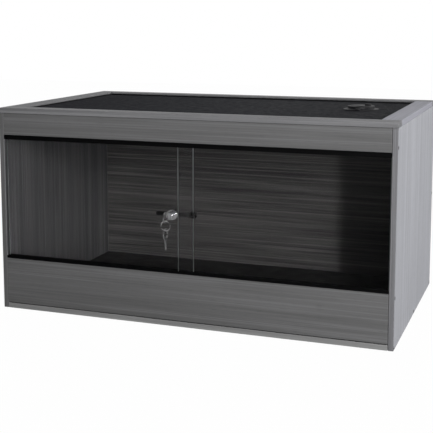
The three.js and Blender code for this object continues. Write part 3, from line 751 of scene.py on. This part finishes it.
class CABINET_OT_screen(bpy.types.Operator):
    """Build the wire screen from two layers of straight crossing wires"""

    bl_idname = "cabinet.screen"
    bl_label = "Screen"

    def execute(self, context):
        sizes = context.scene.cabinet_screen
        low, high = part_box("screen_mesh")
        port = centre(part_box("port_clamp"))
        middle = (low.z + high.z) / 2
        bm = bmesh.new()
        for axis in (0, 1):
            offset = (0.5 if axis else -0.5) * sizes.wire * 0.9
            self.wires(bm, low, high, axis, middle + offset, sizes, port)
        material = moulded("coated wire", sizes.wire_colour, 0.55, Specular_IOR_Level=0.13)
        piece("wire_screen", bm, "cabinet", "screen", [material], ["screen_mesh"], smooth=False)
        self.bead(sizes)
        battens = moulded("black battens", sizes.batten_colour, 0.5)
        for word, _ in SIDES + ENDS:
            dress(f"screen_batten_{word}", battens)
        return {"FINISHED"}

    def bead(self, sizes):
        """A black rubber bead in the corner between the screen and the rails; its black also paints
        the shade line along that corner.
        """
        rubber_and_shade = moulded("rubber bead", sizes.bead_colour, 0.6, Specular_IOR_Level=0.2)
        radius = 0.3 * MM
        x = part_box("top_rail_right")[0].x - GAP
        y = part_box("top_rail_back")[0].y - GAP
        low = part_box("screen_mesh")[1].z + GAP
        wide, high = sizes.bead, low + sizes.bead
        half = x - wide - GAP
        for word, sign in SIDES:
            near, far = sorted((sign * (x - wide), sign * x))
            bm = rounded_block((near, -y, low), (far, y, high), radius, 2)
            piece(f"screen_bead_{word}", bm, "cabinet", "black_plastic", [rubber_and_shade])
        for word, sign in ENDS:
            near, far = sorted((sign * (y - wide), sign * y))
            bm = rounded_block((-half, near, low), (half, far, high), radius, 2)
            piece(f"screen_bead_{word}", bm, "cabinet", "black_plastic", [rubber_and_shade])

    def wires(self, bm, low, high, axis, level, sizes, port):
        """Wires along one axis, each broken where it meets the port's hole."""
        other = 1 - axis
        count = int((high[other] - low[other]) / sizes.pitch)
        start = (low[other] + high[other] - (count - 1) * sizes.pitch) / 2
        for i in range(count):
            across = start + i * sizes.pitch
            aside = abs(across - port[other])
            ends = [(low[axis], high[axis])]
            if aside < SCREEN_HOLE_RADIUS:
                half = math.sqrt(SCREEN_HOLE_RADIUS**2 - aside**2)
                ends = [(low[axis], port[axis] - half), (port[axis] + half, high[axis])]
            for begin, end in ends:
                self.wire(bm, axis, begin, end, across, level, sizes.wire)

    def wire(self, bm, axis, begin, end, across, level, thickness):
        size = [thickness, thickness, thickness]
        size[axis] = end - begin
        at = [across, across, level]
        at[axis] = (begin + end) / 2
        made = bmesh.ops.create_cube(bm, size=1.0)["verts"]
        bmesh.ops.scale(bm, vec=size, verts=made)
        turn = Matrix.Rotation(math.radians(45), 3, "XY"[axis])
        bmesh.ops.rotate(bm, cent=(0, 0, 0), matrix=turn, verts=made)
        bmesh.ops.translate(bm, vec=at, verts=made)


class CABINET_OT_insides(bpy.types.Operator):
    """Finish the floor liner and the hidden dowels"""

    bl_idname = "cabinet.insides"
    bl_label = "Insides"

    def execute(self, context):
        colours = context.scene.cabinet_port
        sheet = moulded("floor liner", colours.liner, 0.4, 900.0, 0.005 * MM, Specular_IOR_Level=0.2)
        dress("floor_liner", sheet)
        dark = tuple(c * 0.75 for c in colours.dowel)
        beech = laminate("beech", colours.dowel, dark, ALONG_Z, 0.6)
        for word, _ in SIDES:
            for end, _ in ENDS:
                dress(f"dowel_panel_{end}_{word}", beech)
                dress(f"dowel_corner_{end}_{word}", beech)
        return {"FINISHED"}


# ---- glass and tracks


class CABINET_OT_tracks(bpy.types.Operator):
    """Build the two plastic tracks with their channels and rounded lips"""

    bl_idname = "cabinet.tracks"
    bl_label = "Tracks"

    def execute(self, context):
        sizes = context.scene.cabinet_glass
        material = moulded("track plastic", sizes.track, 0.6, 2000.0, Specular_IOR_Level=0.08)
        for word, up in (("upper", -1), ("lower", 1)):
            node = f"track_{word}"
            bm = self.section(node, up, sizes)
            name = f"door_{node}"
            piece(name, bm, "cabinet", "black_plastic", [material], [node], smooth=False)
        return {"FINISHED"}

    def section(self, node, up, sizes):
        low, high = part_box(node)
        wall, middle, web = 1.5 * MM, 3 * MM, 2 * MM
        channel = (high.y - low.y - 2 * wall - middle) / 2
        bm = rounded_block(low, high, sizes.lip_radius, 2)
        channels = []
        for start in (low.y + wall, low.y + wall + channel + middle):
            bottom = low.z + web if up > 0 else low.z - OVERCUT
            top = high.z + OVERCUT if up > 0 else high.z - web
            near = (low.x - OVERCUT, start, bottom)
            channels.append(block(near, (high.x + OVERCUT, start + channel, top)))
        return cut(bm, channels)


class CABINET_OT_glass(bpy.types.Operator):
    """Build the two sliding panes with their ground edges"""

    bl_idname = "cabinet.glass"
    bl_label = "Glass Doors"

    def execute(self, context):
        sizes = context.scene.cabinet_glass
        clear = glass("clear glass", sizes.clear, 0.0)
        edge = glass("glass edge", sizes.edge, 0.35, 0.87)
        for word, _ in SIDES:
            node = f"glass_door_{word}"
            low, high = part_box(node)
            bm = rounded_block(low, high, sizes.edge_chamfer, 1)
            for face in bm.faces:
                face.material_index = 0 if abs(face.normal.y) > 0.99 else 1
            body, materials = f"door_{word}", [clear, edge]
            piece(f"{word}_pane", bm, body, "clear_glass", materials, [node], smooth=False)
        return {"FINISHED"}


# ---- lock and keys


def lock_axis():
    """A point on the lock's axis, at the rear of the barrel."""
    at = centre(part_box("lock_body"))
    at.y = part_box("lock_body")[1].y
    return at


def towards_front(bm, at):
    """Lays a turned shape so that its heights run towards the front from a point."""
    return place(bm, (1, 0, 0), (0, 0, 1), (0, -1, 0), at)


class CABINET_OT_lock_bar(bpy.types.Operator):
    """Build the toothed bar with its hook, and the pawl under it"""

    bl_idname = "cabinet.lock_bar"
    bl_label = "Lock Bar"

    def execute(self, context):
        sizes = context.scene.cabinet_lock
        black = moulded("black steel", sizes.black, 0.3, 1500.0, Metallic=0.5)
        low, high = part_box("lock_bar")
        axis = lock_axis()
        half, hook_half, flank = BAR_HALF, (high.z - low.z) / 2, 1.5 * MM
        outline = arc(low.x + half, 0, half, 90, 270, 24)
        for tooth in range(-TEETH_EACH_SIDE, TEETH_EACH_SIDE + 1):
            middle = axis.x + tooth * TOOTH_PITCH
            outline += [
                (middle - flank, -half), (middle, -half + TOOTH_DEPTH), (middle + flank, -half),
            ]
        step, end = high.x - HOOK_LENGTH, high.x - BAR_THICK / 2
        outline += [
            (step, -half), (step, -hook_half), (end, -hook_half), (end, hook_half),
            (step, hook_half), (step, half),
        ]
        bar = plate([outline], BAR_THICK, sizes.bevel)
        towards_front(bar, (0, low.y + BAR_THICK / 2, axis.z))
        bar = joined(bar, [self.hook(low, high, hook_half, sizes.bevel, axis.z)])
        piece("toothed_bar", bar, "door_left", "black_steel", [black], ["lock_bar"])
        self.pawl(sizes)
        return {"FINISHED"}

    def hook(self, low, high, half, bevel, level):
        """The strip bent round the edge of the glass, seen from above and given its height."""
        thick, step = BAR_THICK, high.x - HOOK_LENGTH * 0.6
        out, turn = 1.8 * MM, 0.4 * MM
        inset = thick + turn
        outline = [(step, low.y)]
        outline += arc(high.x - out, low.y + out, out, -90, 0, 8)
        outline += arc(high.x - out, high.y - out, out, 0, 90, 8)
        outline += [(high.x - HOOK_LENGTH, high.y), (high.x - HOOK_LENGTH, high.y - thick)]
        outline += arc(high.x - inset, high.y - inset, turn, 90, 0, 4)
        outline += arc(high.x - inset, low.y + inset, turn, 0, -90, 4)
        outline += [(step, low.y + thick)]
        return moved(plate([outline], 2 * half, bevel), (0, 0, level))

    def pawl(self, sizes):
        nickel = plated("nickel pawl", sizes.nickel, 0.3)
        low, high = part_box("lock_pawl")
        tip, shoulder = 1.2 * MM, high.z - TOOTH_DEPTH
        middle = (low.x + high.x) / 2
        outline = [
            (low.x, low.z), (high.x, low.z), (high.x, shoulder), (middle + tip, shoulder),
            (middle, high.z), (middle - tip, shoulder), (low.x, shoulder),
        ]
        bm = plate([outline], high.y - low.y, sizes.bevel / 2)
        towards_front(bm, (0, (low.y + high.y) / 2, 0))
        piece("spring_pawl", bm, "pawl", "nickel", [nickel], ["lock_pawl"])


class CABINET_OT_lock(bpy.types.Operator):
    """Build the lock barrel and its plug"""

    bl_idname = "cabinet.lock"
    bl_label = "Lock"

    def execute(self, context):
        sizes = context.scene.cabinet_lock
        chrome = plated("chrome", sizes.chrome, 0.12, 0.03, 0.004 * MM)
        steel = plated("plug steel", sizes.plug, 0.3)
        at = lock_axis()
        length = at.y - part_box("lock_body")[0].y
        bm = cut(towards_front(turned(self.barrel(length)), at), self.openings(at))
        piece("lock_barrel", bm, "lock", "chrome", [chrome], ["lock_body"])
        self.plug(steel, at)
        return {"FINISHED"}

    def barrel(self, length):
        """Radius and distance from the rear, with a collar, a groove and a rounded nose."""
        wide, nose, mouth, collar = 12 * MM, 8.5 * MM, 6.5 * MM, 11.5 * MM
        edge, step, groove, slope = 1.4 * MM, 0.9 * MM, 0.4 * MM, 0.3 * MM
        back, front = length - 4.2 * MM, length - 3 * MM
        profile = [(0, 0), (wide - slope, 0), (wide, slope), (wide, collar - 1.6 * MM)]
        profile += arc(wide - edge, collar - edge, edge, 0, 90, 6)
        profile += [(nose + step, collar), (nose + step, collar + groove), (nose, collar + groove)]
        profile += [(nose, back), (nose - groove, back + slope), (nose - groove, front - slope)]
        profile += [(nose, front), *arc(nose - MM, length - MM, MM, 0, 90, 6)]
        return profile + [(mouth + groove, length), (mouth, length - groove), (0, length - groove)]

    def openings(self, at):
        """The slot for the bar, the pawl's pocket and the bore for the plug."""
        bar_low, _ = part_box("lock_bar")
        pawl_low, pawl_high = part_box("lock_pawl")
        front, back = bar_low.y - GAP, bar_low.y + BAR_THICK + GAP
        half, long = BAR_HALF + GAP, 30 * MM
        slot = block((at.x - long, front, at.z - half), (at.x + long, back, at.z + half))
        pocket = block(
            (pawl_low.x - GAP, front, pawl_low.z - GAP), (pawl_high.x + GAP, back, at.z)
        )
        plug_back = (at.x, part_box("lock_plug")[1].y + GAP, at.z)
        radius = 6.3 * MM
        bore = turned(((0, 0), (radius, 0), (radius, long), (0, long)))
        return [slot, pocket, towards_front(bore, plug_back)]

    def plug(self, steel, at):
        low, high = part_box("lock_plug")
        length = high.y - low.y
        radius = (high.x - low.x) / 2
        rim = 0.4 * MM
        profile = (0, 0), (radius, 0), (radius, length - rim), (radius - rim, length), (0, length)
        bm = towards_front(turned(profile), (at.x, high.y, at.z))
        wide, tall, deep = 1.2 * MM, 3.8 * MM, 17.3 * MM
        keyway = block(
            (at.x - wide, low.y - OVERCUT, at.z - tall), (at.x + wide, low.y + deep, at.z + tall)
        )
        piece("key_plug", cut(bm, [keyway]), "key", "plug_steel", [steel], ["lock_plug"])


class CABINET_OT_keys(bpy.types.Operator):
    """Build the two keys and the split ring between them"""

    bl_idname = "cabinet.keys"
    bl_label = "Keys"

    def execute(self, context):
        sizes = context.scene.cabinet_lock
        nickel = plated("nickel keys", sizes.nickel, 0.22, 0.1, 0.02 * MM)
        at = centre(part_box("key"))
        at.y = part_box("key")[0].y + BOW_RADIUS
        inserted = place(self.key(sizes.bevel), (0, 1, 0), (0, 0, 1), (1, 0, 0), at)
        piece("door_key", inserted, "key", "nickel", [nickel], ["key"])
        at = centre(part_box("spare_key"))
        at.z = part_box("spare_key")[1].z - BOW_RADIUS
        hanging = place(self.key(sizes.bevel), (0, 0, -1), (0, 1, 0), (1, 0, 0), at)
        piece("second_key", hanging, "spare_key", "nickel", [nickel], ["spare_key"])
        self.ring(moulded("nickel ring", sizes.nickel, 0.35, Metallic=0.5))
        return {"FINISHED"}

    def key(self, bevel):
        """A flat key with its bow round the origin and its blade along +X."""
        bow, hole, neck, blade = BOW_RADIUS, 8 * MM, 6 * MM, 17 * MM
        neck_half, blade_half, thick = 4.5 * MM, 3.5 * MM, 1.8 * MM
        notch, bit_half, groove = 1.6 * MM, 1.4 * MM, 0.35 * MM
        shoulder = bow + neck
        tip = shoulder + blade
        opening = math.degrees(math.asin(neck_half / bow))
        outline = arc(0, 0, bow, opening, 360 - opening, 64)
        outline += [(shoulder, -neck_half), (shoulder, -blade_half)]
        for bit in (1, 2, 3):
            middle = shoulder + bit * blade / 4
            outline += [(middle - bit_half, -blade_half), (middle, -blade_half + notch)]
            outline += [(middle + bit_half, -blade_half)]
        slope = tip - blade_half / 2
        outline += [(slope, -blade_half), (tip, 0), (slope, blade_half)]
        outline += [(shoulder, blade_half), (shoulder, neck_half)]
        bm = plate([outline, arc(0, 0, hole, 0, 360 - 360 / 48, 47)], thick, bevel)
        grooves = [
            block((shoulder + MM, 0.4 * MM, side - groove), (tip + MM, 1.6 * MM, side + groove))
            for side in (-thick / 2, thick / 2)
        ]
        return cut(bm, grooves)

    def ring(self, material):
        """Two flat-sided turns of wire side by side, with their ends on the ring."""
        low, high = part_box("key_ring")
        middle = centre((low, high))
        outer = (high.x - low.x) / 2
        wide, thick = 2.0 * MM, (high.y - low.y) / 2 - 0.02 * MM
        turns, steps = 1.92, 184
        bm = bmesh.new()
        corners = [
            bm.verts.new((outer - wide / 2 + x * wide / 2, 0, z * thick / 2))
            for x, z in arc(0, 0, 1, 0, 330, 11)
        ]
        end = bm.faces.new(corners)
        bmesh.ops.spin(
            bm, geom=[end, *end.edges, *end.verts], cent=(0, 0, 0), axis=(0, 0, 1),
            dvec=(0, 0, thick / steps), angle=math.tau * turns, steps=steps, use_duplicate=True,
        )
        moved(cleaned(bm), (0, 0, -thick / 2))
        place(bm, (0, 0, 1), (1, 0, 0), (0, 1, 0), middle)
        piece("split_ring", bm, "ring", "nickel", [material], ["key_ring"])


# ---- cable port


class CABINET_OT_port(bpy.types.Operator):
    """Build the cable port with its turning lid and clamp ring"""

    bl_idname = "cabinet.port"
    bl_label = "Cable Port"

    def execute(self, context):
        sizes = context.scene.cabinet_port
        plastic = moulded("port plastic", sizes.flange, 0.45, 1800.0, Specular_IOR_Level=0.35)
        low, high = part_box("port_clamp")
        at = centre((low, high))
        at.z = 0
        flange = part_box("screen_mesh")[1].z + GAP
        self.base(plastic, at, flange, sizes.bevel)
        self.lid(plastic, at, sizes.bevel)
        bore, rim = 27.3 * MM, 38 * MM
        ring = (bore, low.z), (rim, low.z), (rim, high.z), (bore, high.z), (bore, low.z)
        bm = moved(turned(ring), at)
        rounded(bm, corner_edges(bm), sizes.bevel, 2)
        piece("clamp_ring", bm, "cabinet", "grey_plastic", [plastic], ["port_clamp"])
        return {"FINISHED"}

    def disc(self, radius, low, high):
        return turned(((0, low), (radius, low), (radius, high), (0, high)))

    def half_moon(self, low, high, side):
        """The window's disc beyond the bar across its middle, on one side."""
        far = 2 * WINDOW_RADIUS
        near_y, far_y = (-far, WINDOW_BAR) if side > 0 else (-WINDOW_BAR, far)
        rest = block((-far, near_y, low - OVERCUT), (far, far_y, high + OVERCUT))
        return cut(self.disc(WINDOW_RADIUS, low, high), [rest])

    def base(self, plastic, at, flange, bevel):
        rim, wall, bore = 41 * MM, 31 * MM, 27 * MM
        drum, foot = flange + 8 * MM, flange - 6 * MM
        ledge = drum - 3.3 * MM
        shutter = ledge - 1.6 * MM
        profile = (
            (0, foot), (bore, foot), (bore, flange), (rim, flange), (rim, flange + 0.6 * MM),
            (rim - 0.4 * MM, flange + MM), (wall + 2 * MM, flange + 1.9 * MM),
            (wall + 0.6 * MM, flange + 2.2 * MM), (wall, flange + 3 * MM), (wall, drum - bevel),
            (wall - bevel, drum), (0, drum),
        )
        half = 5.5 * MM
        tab = rounded_block(
            (-half, -44 * MM, flange + MM), (half, -29 * MM, flange + 4 * MM), 0.8 * MM
        )
        bm = cut(joined(turned(profile), [tab]), [
            self.disc(WINDOW_RADIUS, foot - OVERCUT, shutter),
            self.half_moon(shutter - OVERCUT, ledge + OVERCUT, 1),
            self.disc(LID_RADIUS + GAP, ledge, drum + OVERCUT),
        ])
        piece("port_body", moved(bm, at), "cabinet", "grey_plastic", [plastic], ["port_base"])

    def lid(self, plastic, at, bevel):
        low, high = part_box("port_lid")
        top, radius = low.z + 3 * MM, LID_RADIUS
        bm = turned(
            ((0, low.z), (radius, low.z), (radius, top - bevel), (radius - bevel, top), (0, top))
        )
        bm = cut(bm, [self.half_moon(low.z - OVERCUT, top + OVERCUT, -1)])
        grip = rounded_block((7 * MM, 7 * MM, top - MM), (21 * MM, 14 * MM, high.z), 0.9 * MM)
        bm = moved(joined(bm, [grip]), at)
        piece("turning_lid", bm, "port_lid", "grey_plastic", [plastic], ["port_lid"])


# ---- stage


def to_the_eye(tree, share):
    """A share for what the eye sees, also through glass, and none for all other light."""
    rays = tree.nodes.new("ShaderNodeLightPath").outputs
    seen = maths(tree, "MAXIMUM", rays["Is Camera Ray"], rays["Is Transmission Ray"])
    unscattered = maths(tree, "LESS_THAN", rays["Diffuse Depth"], 0.5)
    return weighed(tree, weighed(tree, seen, unscattered), share)


class CABINET_OT_stage(bpy.types.Operator):
    """Set up the floor, the lamps, the white surroundings and the camera"""

    bl_idname = "cabinet.stage"
    bl_label = "Stage"

    def execute(self, context):
        sizes = context.scene.cabinet_stage
        context.scene.view_settings.view_transform = "Standard"
        self.floor(sizes)
        self.surroundings(context.scene, sizes)
        self.lamp("key lamp", sizes.key_power, (0.16, 1.5), (1.50, -2.75, 1.0), (0, 0, 0.2))
        self.lamp("side lamp", sizes.side_power, (1.6, 1.6), (3.0, 0.7, 1.3), (0.4, 0, 0.2))
        self.lamp("top lamp", sizes.top_power, (2.0, 2.0), (-0.4, 0.4, 2.9), (0, 0, 0.3))
        self.camera(context.scene, sizes)
        return {"FINISHED"}

    def floor(self, sizes):
        bm = bmesh.new()
        bmesh.ops.create_grid(bm, x_segments=1, y_segments=1, size=sizes.floor_side / 2)
        mesh = mesh_from(bm, "floor")
        shade = opaque([sizes.floor_shade] * 3)
        material, tree, shader, _ = new_material(
            "pale floor", Roughness=0.9, Base_Color=shade, Specular_IOR_Level=0.0
        )
        white = add(tree, "ShaderNodeEmission", {0: WHITE, 1: 1.0})
        share = to_the_eye(tree, sizes.floor_glow)
        show_mixed(tree, share, shader, white, "Material Output")
        mesh.materials.append(material)
        added("floor", mesh)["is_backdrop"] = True

    def surroundings(self, scene, sizes):
        """A soft grey all round that is darker in front, and white to the eye."""
        world = bpy.data.worlds.new("studio")
        scene.world = world
        world.use_nodes = True
        tree = world.node_tree
        plain = tree.nodes["Background"]
        direction = tree.nodes.new("ShaderNodeTexCoord").outputs["Generated"]
        parts = add(tree, "ShaderNodeSeparateXYZ", {0: direction}).outputs
        behind = spread(tree, parts["Y"], -0.4, 0.5)
        glossy = tree.nodes.new("ShaderNodeLightPath").outputs["Is Glossy Ray"]
        spread_light = mix_colours(tree, behind, (0.06, 0.06, 0.06, 1), (0.98, 0.98, 1.0, 1))
        reflected = mix_colours(tree, behind, (0.12, 0.12, 0.12, 1), (1.5, 1.5, 1.5, 1))
        shade = mix_colours(tree, glossy, spread_light, reflected)
        feed(tree, plain, {0: shade, 1: sizes.ambient})
        white = add(tree, "ShaderNodeBackground", {0: WHITE, 1: 1.0})
        show_mixed(tree, to_the_eye(tree, 1.0), plain, white, "World Output")

    def lamp(self, name, power, size, at, target):
        data = bpy.data.lights.new(name, "AREA")
        data.energy = power
        data.shape = "RECTANGLE"
        data.size, data.size_y = size
        thing = added(name, data)
        thing.location = at
        thing.rotation_euler = (Vector(target) - Vector(at)).to_track_quat("-Z", "Y").to_euler()

    def camera(self, scene, sizes):
        data = bpy.data.cameras.new("camera")
        data.sensor_width = 36.0
        data.lens = sizes.lens
        data.shift_y = sizes.shift
        thing = added("camera", data)
        thing.location = sizes.eye
        thing.rotation_euler = (math.pi / 2 - sizes.pitch, 0, sizes.turn)
        scene.camera = thing


# ---- panel and start


OPERATORS = (
    CABINET_OT_stage,
    CABINET_OT_boards,
    CABINET_OT_screws,
    CABINET_OT_screen,
    CABINET_OT_insides,
    CABINET_OT_tracks,
    CABINET_OT_glass,
    CABINET_OT_lock_bar,
    CABINET_OT_lock,
    CABINET_OT_keys,
    CABINET_OT_port,
)
GROUPS = {
    "cabinet_boards": CabinetBoards,
    "cabinet_glass": CabinetGlass,
    "cabinet_screen": CabinetScreen,
    "cabinet_lock": CabinetLock,
    "cabinet_port": CabinetPort,
    "cabinet_stage": CabinetStage,
}


class CABINET_PT_parts(bpy.types.Panel):
    """The cabinet's sizes, colours and building steps"""

    bl_idname = "CABINET_PT_parts"
    bl_label = "Terrarium Cabinet"
    bl_space_type = "VIEW_3D"
    bl_region_type = "UI"
    bl_category = "Cabinet"

    def draw(self, context):
        for name, group in GROUPS.items():
            box = self.layout.box()
            box.label(text=name.replace("_", " ").title())
            for key in group.__annotations__:
                box.prop(getattr(context.scene, name), key)
        for operator in OPERATORS:
            self.layout.operator(operator.bl_idname)


def register():
    for name, group in GROUPS.items():
        bpy.utils.register_class(group)
        setattr(bpy.types.Scene, name, PointerProperty(type=group))
    for kind in (*OPERATORS, CABINET_PT_parts):
        bpy.utils.register_class(kind)


def unregister():
    for kind in (CABINET_PT_parts, *reversed(OPERATORS)):
        bpy.utils.unregister_class(kind)
    for name, group in GROUPS.items():
        delattr(bpy.types.Scene, name)
        bpy.utils.unregister_class(group)


def corners(box):
    return [list(corner) for corner in box]


def main():
    register()
    for operator in OPERATORS:
        group, name = operator.bl_idname.split(".")
        getattr(getattr(bpy.ops, group), name)()
    {"cad": corners(CAD_BOX), "visual": corners(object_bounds())}


if __name__ == "__main__":
    main()
